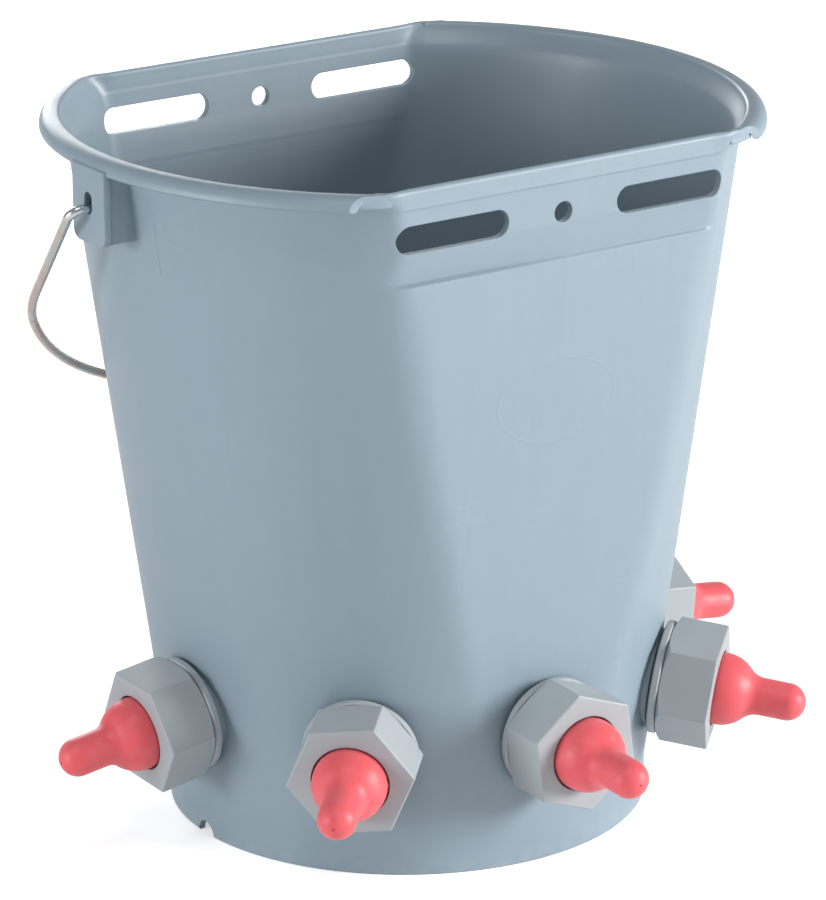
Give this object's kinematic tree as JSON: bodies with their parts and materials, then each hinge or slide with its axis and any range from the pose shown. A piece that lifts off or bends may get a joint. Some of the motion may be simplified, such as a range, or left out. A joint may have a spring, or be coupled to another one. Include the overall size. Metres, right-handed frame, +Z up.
{
  "type": "multi-teat feeding bucket",
  "caption": "Moulded bucket with two flats, hanging slots and a wire bail; screw-on valves around its foot carry rubber teats that feed lambs, kids or calves.",
  "frame": {"origin": "centre of the foot, on the ground", "axes": "+Z up; +X through the right bail lug, along the flats; +Y square to the flats, out of the back flat where the bail hangs; the middle teat points along -Y"},
  "size_m": [0.3562, 0.2992, 0.312],
  "materials": {
    "bucket_plastic": "satin moulded polypropylene, grey-blue",
    "fitting_plastic": "satin moulded plastic, grey",
    "teat_rubber": "soft satin rubber, coral red",
    "seal_rubber": "black rubber",
    "ball_plastic": "polished white plastic",
    "bail_wire": "zinc-plated and passivated wire"
  },
  "bodies": {
    "bucket_with_fittings": {"bucket": "bucket_plastic", "front_hang_panel": "bucket_plastic", "back_hang_panel": "bucket_plastic", "valve_body_left": "fitting_plastic", "wall_seal_left": "seal_rubber", "lock_nut_left": "fitting_plastic", "ball_cage_left": "fitting_plastic", "valve_body_front_left": "fitting_plastic", "wall_seal_front_left": "seal_rubber", "lock_nut_front_left": "fitting_plastic", "ball_cage_front_left": "fitting_plastic", "valve_body_front": "fitting_plastic", "wall_seal_front": "seal_rubber", "lock_nut_front": "fitting_plastic", "ball_cage_front": "fitting_plastic", "valve_body_front_right": "fitting_plastic", "wall_seal_front_right": "seal_rubber", "lock_nut_front_right": "fitting_plastic", "ball_cage_front_right": "fitting_plastic", "valve_body_right": "fitting_plastic", "wall_seal_right": "seal_rubber", "lock_nut_right": "fitting_plastic", "ball_cage_right": "fitting_plastic"},
    "bail": {"bail_handle": "bail_wire"},
    "ball_left": {"valve_ball_left": "ball_plastic"},
    "rubber_left": {"teat_left": "teat_rubber"},
    "nut_left": {"union_nut_left": "fitting_plastic"},
    "ball_front_left": {"valve_ball_front_left": "ball_plastic"},
    "rubber_front_left": {"teat_front_left": "teat_rubber"},
    "nut_front_left": {"union_nut_front_left": "fitting_plastic"},
    "ball_front": {"valve_ball_front": "ball_plastic"},
    "rubber_front": {"teat_front": "teat_rubber"},
    "nut_front": {"union_nut_front": "fitting_plastic"},
    "ball_front_right": {"valve_ball_front_right": "ball_plastic"},
    "rubber_front_right": {"teat_front_right": "teat_rubber"},
    "nut_front_right": {"union_nut_front_right": "fitting_plastic"},
    "ball_right": {"valve_ball_right": "ball_plastic"},
    "rubber_right": {"teat_right": "teat_rubber"},
    "nut_right": {"union_nut_right": "fitting_plastic"}
  },
  "joints": [
    {"name": "bail_swing", "type": "hinge", "parent": "bucket_with_fittings", "child": "bail", "pos_m": [0, 0, 0.2901], "axis": [1, 0, 0], "range_deg": [0, 273]},
    {"name": "ball_lift_left", "type": "slide", "parent": "bucket_with_fittings", "child": "ball_left", "axis": [0.9909, 0.0173, 0.1333], "range_m": [0, 0.0028]},
    {"name": "teat_pull_left", "type": "slide", "parent": "bucket_with_fittings", "child": "rubber_left", "axis": [-0.9909, -0.0173, -0.1333], "range_m": [0, 0.01351]},
    {"name": "nut_turn_left", "type": "hinge", "parent": "rubber_left", "child": "nut_left", "pos_m": [-0.11115, -0.00194, 0.0596], "axis": [-0.9909, -0.0173, -0.1333], "range_deg": [0, 1620]},
    {"name": "ball_lift_front_left", "type": "slide", "parent": "bucket_with_fittings", "child": "ball_front_left", "axis": [0.6822, 0.7189, 0.1333], "range_m": [0, 0.0028]},
    {"name": "teat_pull_front_left", "type": "slide", "parent": "bucket_with_fittings", "child": "rubber_front_left", "axis": [-0.6822, -0.7189, -0.1333], "range_m": [0, 0.01351]},
    {"name": "nut_turn_front_left", "type": "hinge", "parent": "rubber_front_left", "child": "nut_front_left", "pos_m": [-0.07652, -0.08063, 0.0596], "axis": [-0.6822, -0.7189, -0.1333], "range_deg": [0, 1620]},
    {"name": "ball_lift_front", "type": "slide", "parent": "bucket_with_fittings", "child": "ball_front", "axis": [0, 0.9992, 0.0409], "range_m": [0, 0.0028]},
    {"name": "teat_pull_front", "type": "slide", "parent": "bucket_with_fittings", "child": "rubber_front", "axis": [0, -0.9992, -0.0409], "range_m": [0, 0.01351]},
    {"name": "nut_turn_front", "type": "hinge", "parent": "rubber_front", "child": "nut_front", "pos_m": [0, -0.10724, 0.0596], "axis": [0, -0.9992, -0.0409], "range_deg": [0, 1620]},
    {"name": "ball_lift_front_right", "type": "slide", "parent": "bucket_with_fittings", "child": "ball_front_right", "axis": [-0.6822, 0.7189, 0.1333], "range_m": [0, 0.0028]},
    {"name": "teat_pull_front_right", "type": "slide", "parent": "bucket_with_fittings", "child": "rubber_front_right", "axis": [0.6822, -0.7189, -0.1333], "range_m": [0, 0.01351]},
    {"name": "nut_turn_front_right", "type": "hinge", "parent": "rubber_front_right", "child": "nut_front_right", "pos_m": [0.07652, -0.08063, 0.0596], "axis": [0.6822, -0.7189, -0.1333], "range_deg": [0, 1620]},
    {"name": "ball_lift_right", "type": "slide", "parent": "bucket_with_fittings", "child": "ball_right", "axis": [-0.9909, 0.0173, 0.1333], "range_m": [0, 0.0028]},
    {"name": "teat_pull_right", "type": "slide", "parent": "bucket_with_fittings", "child": "rubber_right", "axis": [0.9909, -0.0173, -0.1333], "range_m": [0, 0.01351]},
    {"name": "nut_turn_right", "type": "hinge", "parent": "rubber_right", "child": "nut_right", "pos_m": [0.11115, -0.00194, 0.0596], "axis": [0.9909, -0.0173, -0.1333], "range_deg": [0, 1620]}
  ],
  "couplings": [
    {"joint": "teat_pull_left", "follows": "nut_turn_left", "m_per_rad": 0.00047746},
    {"joint": "teat_pull_front_left", "follows": "nut_turn_front_left", "m_per_rad": 0.00047746},
    {"joint": "teat_pull_front", "follows": "nut_turn_front", "m_per_rad": 0.00047746},
    {"joint": "teat_pull_front_right", "follows": "nut_turn_front_right", "m_per_rad": 0.00047746},
    {"joint": "teat_pull_right", "follows": "nut_turn_right", "m_per_rad": 0.00047746}
  ]
}
